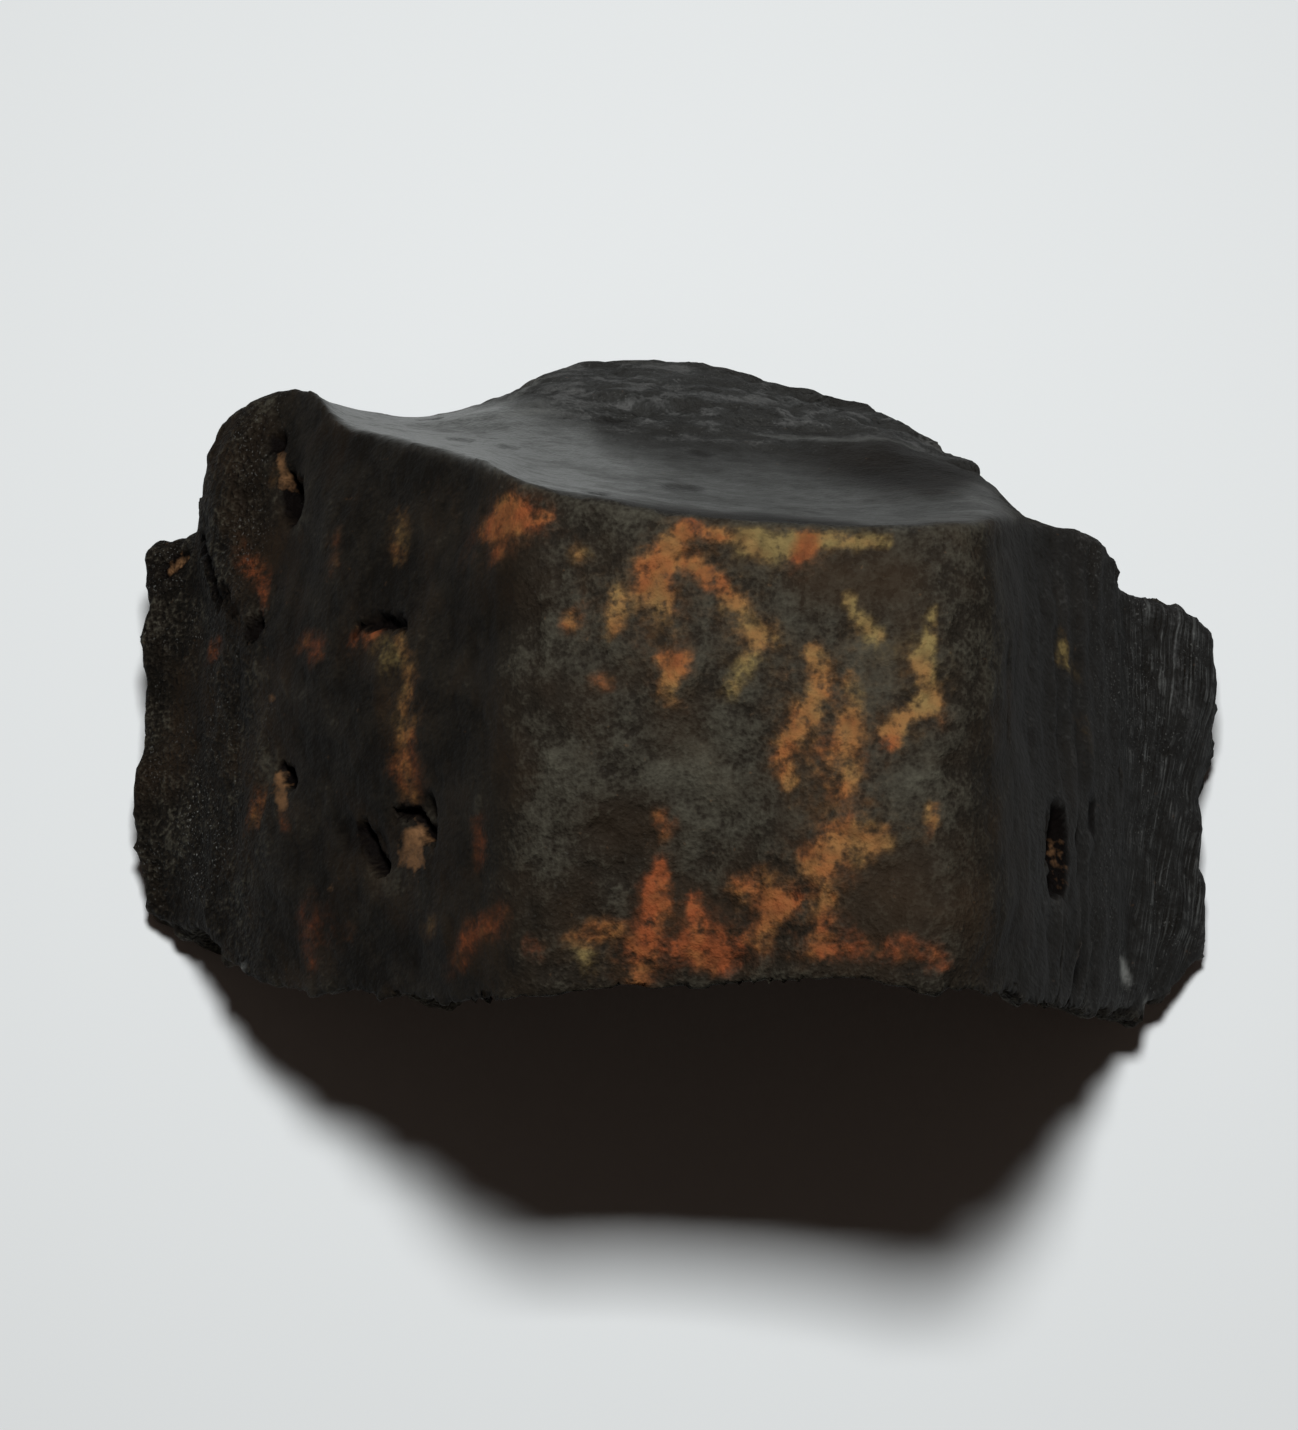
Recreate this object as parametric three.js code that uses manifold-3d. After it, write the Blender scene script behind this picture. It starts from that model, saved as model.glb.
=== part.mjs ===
// Hematite iron ore: one broken lump of massive, partly fibrous ore, lying on its flat face.
// Millimetres, +Z up, +X along the lump. The origin is the middle of the box's underside.
import * as THREE from "three";
import { ImprovedNoise } from "three/addons/math/ImprovedNoise.js";
import { mergeVertices } from "three/addons/utils/BufferGeometryUtils.js";
import Module from "manifold-3d";

// Driving dimensions: the finished lump's box.
const LENGTH = 62;
const DEPTH = 44.5;
const HEIGHT = 46.2;

// Fineness of the surface: steps along the lump, and steps across each of its faces.
const COLUMNS = 68;
const END_STEPS = 4; // steps down each end wall
const FACES = [
  { name: "front", steps: 14, rough: 0.5, broken: 1.3 },
  { name: "top", steps: 17, rough: 0.35, broken: 0.45 },
  { name: "scoop", steps: 18, rough: 0.12, broken: 0 },
  { name: "back", steps: 5, rough: 0.4, broken: 0.9 },
];
const CHIP_SIZE = 7; // the flat chips of a broken face are about this wide
const CHIP_SHARPNESS = 16; // higher gives narrower slopes between chips
const RELIEF_SPAN = [6, 36]; // a face this low has no relief of its own, and one this tall has all
const CALM_FRONT = { from: 12, to: 18, share: 0.75 }; // the front is less broken to the right
const EDGE_ROUGH = 0.16; // how uneven the edges between faces are
const SKIRT = 2; // the sheet runs this far below the resting plane, where it is cut off
const SKIRT_FLARE = 0.15; // and it leans out this far at the ends

// The edges of the lump from left to right as it was drawn, [along X, across Y, up Z]. The last
// step brings the whole lump to LENGTH, DEPTH and HEIGHT.
const FRONT_EDGE = [
  [-29.0, -12.4, 2.5], [-27.0, -13.6, 4], [-24.9, -14.8, 8], [-22.1, -18.1, 12],
  [-18.6, -20.3, 18], [-12.6, -22.3, 27], [-8.6, -24.2, 34], [-6.2, -24.7, 37.8],
  [-2.4, -24.4, 38.8], [3.4, -24.4, 39.8], [8.5, -24.5, 42.2], [14.0, -25.3, 43],
  [15.8, -25.1, 41], [17.3, -24.5, 38], [20.7, -23.1, 28], [22.7, -21.8, 20],
  [26.5, -19.3, 8], [28.4, -18.2, 4.5], [30.0, -17.0, 3], [31.0, -16.0, 2.6],
  [31.6, -14.8, 2.5],
];
const RIDGE = [
  [-29.0, 7.3, 8.5], [-26.0, 7.3, 10.5], [-25.2, 7.7, 12.5], [-24.2, 9.4, 16], [-22.5, 11.8, 18],
  [-20.8, 13.4, 18.8], [-18.4, 12.6, 22], [-16.3, 9.0, 27], [-12.9, 6.2, 32], [-10.1, 3.9, 37],
  [-7.9, 2.1, 41], [-5.9, -0.1, 44], [-2.2, -1.4, 45.5], [3.4, -2.5, 46], [11.8, -2.9, 46],
  [15.8, -2.4, 45], [18.0, 0.4, 37], [20.4, 3.1, 27.5], [24.2, 3.5, 22.5], [25.6, 3.2, 18.5],
  [26.1, 3.1, 14.5], [27.8, 3.1, 12.5], [30.4, 3.1, 10.5], [31.6, 2.9, 7.5],
];
const RIM = [
  [-29.0, 8.5, 7.5], [-26.7, 8.5, 9], [-25.5, 8.5, 10], [-25.2, 9.2, 13], [-24.8, 11.1, 15],
  [-23.5, 12.9, 16.5], [-22.0, 13.3, 17.6], [-20.9, 13.7, 18], [-17.9, 13.9, 16],
  [-12.8, 13.9, 14], [-9.1, 15.1, 13], [-5.5, 17.6, 11], [-0.7, 19.0, 9], [4.0, 18.5, 9],
  [9.5, 16.5, 10], [13.3, 14.7, 12], [15.8, 12.6, 14], [18.3, 10.5, 16], [19.6, 6.6, 20],
  [20.6, 4.2, 25], [24.2, 4.0, 22], [25.6, 4.0, 18], [26.1, 3.8, 14], [27.8, 3.8, 12],
  [30.4, 4.0, 10], [31.6, 3.8, 6.5],
];
const FOOT_FRONT = [
  [-29.0, -12.2, 0], [-22, -15.0, 0], [-10, -13.8, 0], [5, -13.2, 0], [18, -14.4, 0],
  [23, -16.2, 0], [26, -17.2, 0], [28.4, -17.2, 0], [30.0, -16.5, 0], [31.6, -14.5, 0],
];
const FOOT_BACK = [
  [-29.0, 7.9, 0], [-24, 8.8, 0], [-20, 12.2, 0], [-12, 12.4, 0], [-4, 15.6, 0], [3, 16.8, 0],
  [10, 14.6, 0], [16, 9.6, 0], [20, 4.2, 0], [26, 3.0, 0], [31.6, 3.2, 0],
];
// The two ends seen from above, [across Y, along X].
const LEFT_END = [
  [-12.7, -28.5], [-8.9, -29.4], [-5.6, -29.5], [-0.4, -28.7], [3.3, -29.2], [5.2, -28.6],
  [7.0, -28.9], [8.3, -28.6],
];
const RIGHT_END = [
  [-14.8, 31.6], [-13.4, 31.8], [-9.6, 31.2], [-8.0, 31.5], [-6.4, 31.0], [-2.8, 31.7],
  [-0.7, 32.2], [3.6, 32.3],
];
const END_REACH = 4; // the ends' own shape fades out over this length
// How far each face bulges (+) or is hollowed (-) between its edges, [along X, mm].
const BULGE = {
  front: [[-29, 0], [-18, 0.2], [0, -0.8], [14, -0.6], [24, 0], [31.6, 0]],
  top: [[-29, 0.8], [-22, 1.6], [-15, 2.6], [-8, 1.2], [0, 0.8], [16, 0.7], [24, 1.2], [31.6, 0.6]],
  scoop: [[-29, 0], [-18, -0.1], [-12, -0.3], [-5, -1.8], [3, -2.2], [11, -1.8], [17, -0.4], [20, 0],
    [31.6, 0]],
  back: [[-29, 0], [-15, 0.8], [0, 1.4], [15, 0.8], [31.6, 0]],
};
// The lower half of the front stands out as a ledge and the upper half is hollow, [along X, mm].
const LEDGE = [[-29, 0], [-18, 0.2], [-8, 1.6], [2, 0.9], [10, 1.6], [16, 0.5], [22, 0], [31.6, 0]];
// The rough hump below the scoop, [along X, mm], and where it lies between ridge (0) and rim (1).
const HUMP = [[-29, 0], [-14, 0], [-7, 0.7], [2, 1.2], [10, 0.9], [17, 0.2], [31.6, 0]];
const HUMP_MIDDLE = 0.8;
const HUMP_REACH = 0.12;
const HUMP_ROUGH = 0.4;

// The step where the main body stands proud of the thin left slab, [across Y, along X].
const LEFT_STEP = [[-18, -21.8], [-10.3, -22.1], [-3, -21.8], [2.6, -24.1], [8, -25.6]];
const LEFT_STEP_HEIGHT = 0.9;
const LEFT_STEP_WIDTH = 1.6;

// Flutes of the fibrous ore on the right flank: they run across the lump, along Y.
const FLUTES_FROM = 18.5;
const FLUTE_HEIGHT = 0.2;
// Faint ripples of the smooth break in the scoop, along X.
const RIPPLE_HEIGHT = 0.12;
// The crumbly rim between the scoop and the back on the right.
const CRUMBLY = { from: 5, to: 20.5, height: 0.3 };

// Pits and cracks: middle [X, Y], half sizes [along X, along Y, deep], turn about Z in degrees.
const PITS = [
  { at: [-19.5, 7.1], half: [0.7, 1.8, 1.5], turn: 8 },
  { at: [-20.3, 10.2], half: [0.5, 0.9, 0.9], turn: 0 },
  { at: [-21.3, -0.1], half: [0.5, 0.6, 0.9], turn: 0 },
  { at: [-13.5, -3.4], half: [1.2, 0.6, 1.2], turn: -4 },
  { at: [-19.5, -8.6], half: [0.6, 1.3, 1.2], turn: 15 },
  { at: [-11.6, -14.0], half: [1.2, 1.3, 1.4], turn: -28 },
  { at: [-14.0, -14.5], half: [0.6, 1.5, 1.4], turn: 25 },
  { at: [20.9, -14.7], half: [0.6, 2.0, 1.3], turn: 0 },
  { at: [-26.9, 6.4], half: [0.9, 0.6, 0.8], turn: 25 },
  { at: [-24.7, 5.0], half: [0.3, 3.0, 0.9], turn: -14 },
];

const FLAT_BOX = 400; // larger than the lump: what lies above the resting plane is kept

const noise = new ImprovedNoise();

function mix(a, b, t) {
  return a + (b - a) * t;
}

function clamp01(t) {
  return Math.min(Math.max(t, 0), 1);
}

function smoothStep(from, to, value) {
  const t = clamp01((value - from) / (to - from));
  return t * t * (3 - 2 * t);
}

// Reads a list of [key, value, ...] rows at any key, straight between the rows.
function readRows(rows, key) {
  let i = 1;
  while (i < rows.length - 1 && rows[i][0] < key) {
    i += 1;
  }
  const t = clamp01((key - rows[i - 1][0]) / (rows[i][0] - rows[i - 1][0]));
  return rows[i - 1].slice(1).map((value, k) => mix(value, rows[i][k + 1], t));
}

// A smooth curve through a list of rows, as closely spaced rows that readRows can read.
function smoothed(points) {
  const vectors = points.map((p) => new THREE.Vector3(...p));
  const curve = new THREE.CatmullRomCurve3(vectors, false, "centripetal");
  return curve.getPoints(points.length * 12).map((p) => p.toArray());
}

const EDGES = {
  footFront: smoothed(FOOT_FRONT),
  front: smoothed(FRONT_EDGE),
  ridge: smoothed(RIDGE),
  rim: smoothed(RIM),
  footBack: smoothed(FOOT_BACK),
};
const SWELLS = {
  front: smoothed(BULGE.front),
  top: smoothed(BULGE.top),
  scoop: smoothed(BULGE.scoop),
  back: smoothed(BULGE.back),
  ledge: smoothed(LEDGE),
  hump: smoothed(HUMP),
};
const FIRST_X = FRONT_EDGE[0][0];
const LAST_X = FRONT_EDGE.at(-1)[0];

// Places along X that are evenly spaced over the rise and fall of the top.
function columnPlaces() {
  const fine = 600;
  const lengths = [0];
  const xs = [FIRST_X];
  const topAt = (x) => (readRows(EDGES.front, x)[1] + readRows(EDGES.ridge, x)[1]) / 2;
  for (let i = 1; i <= fine; i += 1) {
    xs.push(mix(FIRST_X, LAST_X, i / fine));
    const rise = topAt(xs[i]) - topAt(xs[i - 1]);
    lengths.push(lengths[i - 1] + Math.hypot(xs[i] - xs[i - 1], rise));
  }
  const rows = lengths.map((length, i) => [length, xs[i]]);
  const places = [];
  for (let i = 0; i <= COLUMNS; i += 1) {
    places.push(readRows(rows, (lengths[fine] * i) / COLUMNS)[0]);
  }
  return places;
}

// How far a face stands out from the straight line between its edges.
function swell(name, x, share) {
  let out = readRows(SWELLS[name], x)[0] * Math.sin(Math.PI * share);
  if (name === "front") {
    out += readRows(SWELLS.ledge, x)[0] * Math.sin(2 * Math.PI * share);
  }
  if (name === "scoop") {
    out += readRows(SWELLS.hump, x)[0] * Math.exp(-(((share - HUMP_MIDDLE) / HUMP_REACH) ** 2));
  }
  return out;
}

// One upright cut through the lump: points over its front, top, scoop and back, with their face.
function section(x) {
  const [footFrontY] = readRows(EDGES.footFront, x);
  const [footBackY] = readRows(EDGES.footBack, x);
  const corners = [
    [footFrontY, 0],
    readRows(EDGES.front, x),
    readRows(EDGES.ridge, x),
    readRows(EDGES.rim, x),
    [footBackY, 0],
  ];
  const points = [{ y: footFrontY, z: -SKIRT, face: 0, share: 0, span: 0 }];
  FACES.forEach((face, k) => {
    const [fromY, fromZ] = corners[k];
    const [toY, toZ] = corners[k + 1];
    const span = Math.hypot(toY - fromY, toZ - fromZ);
    const first = k === 0 ? 0 : 1;
    for (let j = first; j <= face.steps; j += 1) {
      const share = j / face.steps;
      const out = swell(face.name, x, share);
      points.push({
        y: mix(fromY, toY, share) - (out * (toZ - fromZ)) / span,
        z: mix(fromZ, toZ, share) + (out * (toY - fromY)) / span,
        face: k,
        share,
        span,
      });
    }
  });
  points.push({ y: footBackY, z: -SKIRT, face: FACES.length - 1, share: 1, span: 0 });
  return points;
}

// Moves a point near an end so that the end has its own outline from above.
function shapeEnds(x, y) {
  const left = readRows(LEFT_END, y)[0] - FIRST_X;
  const right = readRows(RIGHT_END, y)[0] - LAST_X;
  const nearLeft = 1 - smoothStep(0, END_REACH, x - FIRST_X);
  const nearRight = 1 - smoothStep(0, END_REACH, LAST_X - x);
  return x + left * nearLeft + right * nearRight;
}

// The wall below an end of the lump, as columns from its top edge down to the skirt.
function endWall(column, out) {
  const wall = [];
  for (let step = 1; step <= END_STEPS; step += 1) {
    const down = step / END_STEPS;
    wall.push(column.map((point, j) => ({
      ...point,
      x: point.x + out * down,
      y: mix(point.y, mix(column[0].y, column.at(-1).y, j / (column.length - 1)), down),
      z: mix(point.z, -SKIRT, down),
    })));
  }
  return wall;
}

// The open sheet over the lump, a grid whose border lies below the resting plane.
function sheetPoints() {
  const columns = columnPlaces().map((x) => section(x).map((point) => {
    return { x: shapeEnds(x, point.y), ...point };
  }));
  const left = endWall(columns[0], -SKIRT_FLARE).reverse();
  const right = endWall(columns.at(-1), SKIRT_FLARE);
  return [...left, ...columns, ...right];
}

// Adds the triangles of the sheet, then closes it underneath with a flat cap.
function closedSheet(columns) {
  const rows = columns[0].length;
  const at = (i, j) => i * rows + j;
  const positions = columns.flatMap((column) => column.flatMap((p) => [p.x, p.y, p.z]));
  const index = [];
  for (let i = 0; i < columns.length - 1; i += 1) {
    for (let j = 0; j < rows - 1; j += 1) {
      index.push(at(i, j), at(i + 1, j), at(i + 1, j + 1));
      index.push(at(i, j), at(i + 1, j + 1), at(i, j + 1));
    }
  }
  const last = columns.length - 1;
  const border = [];
  for (let i = 0; i < last; i += 1) border.push(at(i, 0));
  for (let j = 0; j < rows - 1; j += 1) border.push(at(last, j));
  for (let i = last; i > 0; i -= 1) border.push(at(i, rows - 1));
  for (let j = rows - 1; j > 0; j -= 1) border.push(at(0, j));
  const outline = border.map((v) => new THREE.Vector2(positions[3 * v], positions[3 * v + 1]));
  THREE.ShapeUtils.triangulateShape(outline, []).forEach(([a, b, c]) => {
    index.push(border[a], border[c], border[b]);
  });
  const geometry = new THREE.BufferGeometry();
  geometry.setAttribute("position", new THREE.Float32BufferAttribute(positions, 3));
  geometry.setIndex(index);
  return geometry;
}

// Broken-stone unevenness, about -1 to 1, of the given wavelength in mm.
function unevenness(p, wavelength, seed) {
  let sum = 0;
  let height = 1;
  let size = wavelength;
  for (let octave = 0; octave < 3; octave += 1) {
    sum += height * noise.noise(p.x / size + seed, p.y / size, p.z / size);
    height *= 0.55;
    size *= 0.5;
  }
  return sum;
}

// A fixed number from -1 to 1 for each cell of a grid.
function cellNumber(i, j, k, seed) {
  const wave = Math.sin(i * 127.1 + j * 311.7 + k * 74.7 + seed * 53.3) * 43758.5453;
  return 2 * (wave - Math.floor(wave)) - 1;
}

// Flat chips: each point takes the tilted plane of the nearest chip, with a short slope between two.
function chips(p, seed) {
  const q = [p.x / CHIP_SIZE, p.y / CHIP_SIZE, p.z / CHIP_SIZE];
  const cell = q.map(Math.floor);
  let weights = 0;
  let height = 0;
  for (let n = 0; n < 27; n += 1) {
    const i = cell[0] + (n % 3) - 1;
    const j = cell[1] + (Math.floor(n / 3) % 3) - 1;
    const k = cell[2] + Math.floor(n / 9) - 1;
    const number = (salt) => cellNumber(i, j, k, seed + salt);
    const offset = [i, j, k].map((corner, axis) => q[axis] - corner - 0.5 - 0.4 * number(axis));
    const tilt = offset[0] * number(4) + offset[1] * number(5) + offset[2] * number(6);
    const weight = Math.exp(-CHIP_SHARPNESS * Math.hypot(...offset));
    weights += weight;
    height += weight * (0.45 * number(3) + tilt);
  }
  return height / weights;
}

function leftStep(p) {
  const [edge] = readRows(LEFT_STEP, p.y);
  return LEFT_STEP_HEIGHT * (smoothStep(-LEFT_STEP_WIDTH / 2, LEFT_STEP_WIDTH / 2, p.x - edge) - 0.5);
}

function flutes(p, column) {
  const side = column % 2 === 0 ? 1 : -1;
  const strength = 0.5 + 1.2 * noise.noise(column * 0.37, p.y / 14, 0.5);
  return side * FLUTE_HEIGHT * strength * smoothStep(FLUTES_FROM, FLUTES_FROM + 3, p.x);
}

function crumbs(p) {
  const begins = smoothStep(CRUMBLY.from, CRUMBLY.from + 2, p.x);
  const ends = 1 - smoothStep(CRUMBLY.to - 1, CRUMBLY.to, p.x);
  return CRUMBLY.height * begins * ends * smoothStep(0.7, 0.85, p.share) * unevenness(p, 3, 1.1);
}

// How far the surface stands out at a point of the sheet.
function relief(p, column, row) {
  const face = FACES[p.face];
  const inside = smoothStep(0, 0.2, Math.min(p.share, 1 - p.share)) * smoothStep(...RELIEF_SPAN, p.span);
  const fibrous = smoothStep(FLUTES_FROM - 3, FLUTES_FROM, p.x);
  const onHump = face.name === "scoop" ? smoothStep(0.55, 0.75, p.share) : 0;
  const rough = mix(face.rough, HUMP_ROUGH, onHump);
  let height = mix(EDGE_ROUGH, rough, inside) * unevenness(p, 9, 3.3 * p.face);
  let broken = face.broken;
  if (face.name === "top") {
    broken *= 1 - 0.8 * fibrous;
  }
  if (face.name === "front") {
    broken *= 1 - CALM_FRONT.share * smoothStep(CALM_FRONT.from, CALM_FRONT.to, p.x);
  }
  height += broken * inside * chips(p, p.face);
  if (face.name === "top") {
    height += leftStep(p) * inside + flutes(p, column);
  }
  if (face.name === "scoop") {
    height += crumbs(p) + RIPPLE_HEIGHT * inside * noise.noise(p.x / 12, row * 0.9, 4.2);
  }
  return height * clamp01((p.z + SKIRT) / SKIRT);
}

function roughen(geometry, columns) {
  geometry.computeVertexNormals();
  const { position, normal } = geometry.attributes;
  const rows = columns[0].length;
  columns.flat().forEach((point, v) => {
    const out = relief(point, Math.floor(v / rows), v % rows);
    position.setXYZ(
      v,
      point.x + out * normal.getX(v),
      point.y + out * normal.getY(v),
      point.z + out * normal.getZ(v),
    );
  });
}

const manifold = await Module();
manifold.setup();

function toSolid(geometry) {
  const bare = geometry.clone();
  bare.deleteAttribute("normal");
  bare.deleteAttribute("uv");
  const welded = mergeVertices(bare);
  return new manifold.Manifold(new manifold.Mesh({
    numProp: 3,
    vertProperties: new Float32Array(welded.attributes.position.array),
    triVerts: new Uint32Array(welded.index.array),
  }));
}

function toGeometry(solid) {
  const mesh = solid.getMesh();
  const geometry = new THREE.BufferGeometry();
  geometry.setAttribute("position", new THREE.BufferAttribute(new Float32Array(mesh.vertProperties), 3));
  geometry.setIndex(new THREE.BufferAttribute(new Uint32Array(mesh.triVerts), 1));
  return geometry;
}

// A pit is a stretched ball sunk halfway into the surface straight below its place.
function pitSolid(pit, surface) {
  const ray = new THREE.Raycaster(new THREE.Vector3(...pit.at, 2 * HEIGHT), new THREE.Vector3(0, 0, -1));
  const [hit] = ray.intersectObject(surface);
  const ball = new THREE.IcosahedronGeometry(1, 1);
  ball.scale(...pit.half);
  ball.rotateZ(THREE.MathUtils.degToRad(pit.turn));
  const lie = new THREE.Quaternion().setFromUnitVectors(new THREE.Vector3(0, 0, 1), hit.face.normal);
  ball.applyQuaternion(lie);
  ball.translate(hit.point.x, hit.point.y, hit.point.z);
  return toSolid(ball);
}

// Keeps what is above the resting plane and sinks the pits.
function cutLump(sheet) {
  const box = new THREE.BoxGeometry(FLAT_BOX, FLAT_BOX, FLAT_BOX);
  box.translate(0, 0, FLAT_BOX / 2);
  const surface = new THREE.Mesh(sheet, new THREE.MeshBasicMaterial());
  surface.updateMatrixWorld();
  const pits = PITS.map((pit) => pitSolid(pit, surface));
  const whole = toSolid(sheet).intersect(toSolid(box));
  return toGeometry(pits.reduce((solid, pit) => solid.subtract(pit), whole));
}

// Brings the lump to its driving dimensions and stands it centred over the origin.
function fitToSize(geometry) {
  geometry.computeBoundingBox();
  const size = geometry.boundingBox.getSize(new THREE.Vector3());
  const centre = geometry.boundingBox.getCenter(new THREE.Vector3());
  geometry.translate(-centre.x, -centre.y, -geometry.boundingBox.min.z);
  geometry.scale(LENGTH / size.x, DEPTH / size.y, HEIGHT / size.z);
}

function oreLump() {
  const columns = sheetPoints();
  const sheet = closedSheet(columns);
  roughen(sheet, columns);
  const geometry = cutLump(sheet);
  fitToSize(geometry);
  const hematite = new THREE.MeshStandardMaterial({ color: "#45403d", roughness: 0.6, metalness: 0.35 });
  const mesh = new THREE.Mesh(geometry, hematite);
  mesh.name = "ore_lump";
  return mesh;
}

const lump = new THREE.Group();
lump.add(oreLump());
export default lump;
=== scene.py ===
"""Hematite iron ore: the look of one broken lump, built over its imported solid.

Blender works in metres. Places and sizes in this file are millimetres and are multiplied by MM.
"""
import math
from functools import partial

import bpy
import numpy as np
from bpy.props import FloatProperty, FloatVectorProperty, IntProperty, PointerProperty
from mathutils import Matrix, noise


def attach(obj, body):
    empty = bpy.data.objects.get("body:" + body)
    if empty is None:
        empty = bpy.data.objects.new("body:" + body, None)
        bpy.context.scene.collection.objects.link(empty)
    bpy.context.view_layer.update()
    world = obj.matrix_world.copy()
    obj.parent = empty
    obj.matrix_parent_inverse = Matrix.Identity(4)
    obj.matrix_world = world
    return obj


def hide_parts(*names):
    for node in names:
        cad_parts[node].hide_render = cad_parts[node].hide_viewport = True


bl_info = {
    "name": "Hematite Iron Ore",
    "version": (1, 0, 0),
    "blender": (4, 5, 0),
    "location": "View3D > Sidebar > Ore",
    "description": "A broken lump of hematite iron ore with ochre stains, on a pale floor",
    "category": "Add Mesh",
}

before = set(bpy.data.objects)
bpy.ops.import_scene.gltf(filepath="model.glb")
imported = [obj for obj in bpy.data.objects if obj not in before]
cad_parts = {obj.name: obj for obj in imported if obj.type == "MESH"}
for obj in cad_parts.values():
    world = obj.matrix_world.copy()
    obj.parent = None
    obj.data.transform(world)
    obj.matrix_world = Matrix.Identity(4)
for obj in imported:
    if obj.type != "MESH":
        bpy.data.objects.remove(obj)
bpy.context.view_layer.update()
MM = 0.001

# Lines on the lump, in millimetres, seen from above as (along X, across Y), left to right.
RIDGE_LINE = [
    (-31, 12), (-26, 14.5), (-22.3, 16.4), (-19.9, 15.6), (-17.8, 12), (-14.4, 9.2),
    (-11.6, 6.9), (-7.4, 2.9), (-3.7, 1.6), (1.9, 0.5), (10.3, 0.1), (14.3, 0.6), (16.5, 3.4),
    (18.9, 6.7), (22.7, 7.1), (31, 6),
]
HUMP_LINE = [(-31, 21), (-10, 18), (-7, 14.6), (-0.7, 13.6), (5, 13.2), (11.5, 14), (17, 12)]
# The lower edge of the scoop, as (along X, up Z).
RIM_LINE = [(-26, 17), (-20, 15.5), (-10, 13.5), (-5, 10), (5, 9.5), (11, 12), (16, 16)]

# Where the hump's right shoulder is cut back, and where the left slab is roughest and has the most
# painted glints and tiny holes: places with the half width there.
SHOULDER_LINE = [(13.5, 13.6, 1.2), (17.5, 12.0, 1.2)]
SLAB_LINE = [(-26.8, -4.0, 1.0), (-26.2, -9.0, 1.2)]

# How shiny the scoop is along X, as painted sheen together with real smoothness, how far behind the
# ridge the shine reaches, and where it starts.
SHEEN_LINE = [
    (-26, 0.95), (-20, 1.12), (-13.5, 1.14), (-8.5, 1.02), (-4, 0.92), (0, 0.5), (4.5, 0.46),
    (9.2, 0.47), (13, 0.36), (16, 0.45),
]
REACH_LINE = [(-9, 30), (-4, 13.8), (0, 13.2), (4.5, 15), (9.2, 11.4), (13, 7), (16, 8)]
START_LINE = [(-9, -3), (-4, -1), (0, 0.2), (4.4, 1), (8, 0), (10, -3)]

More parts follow.
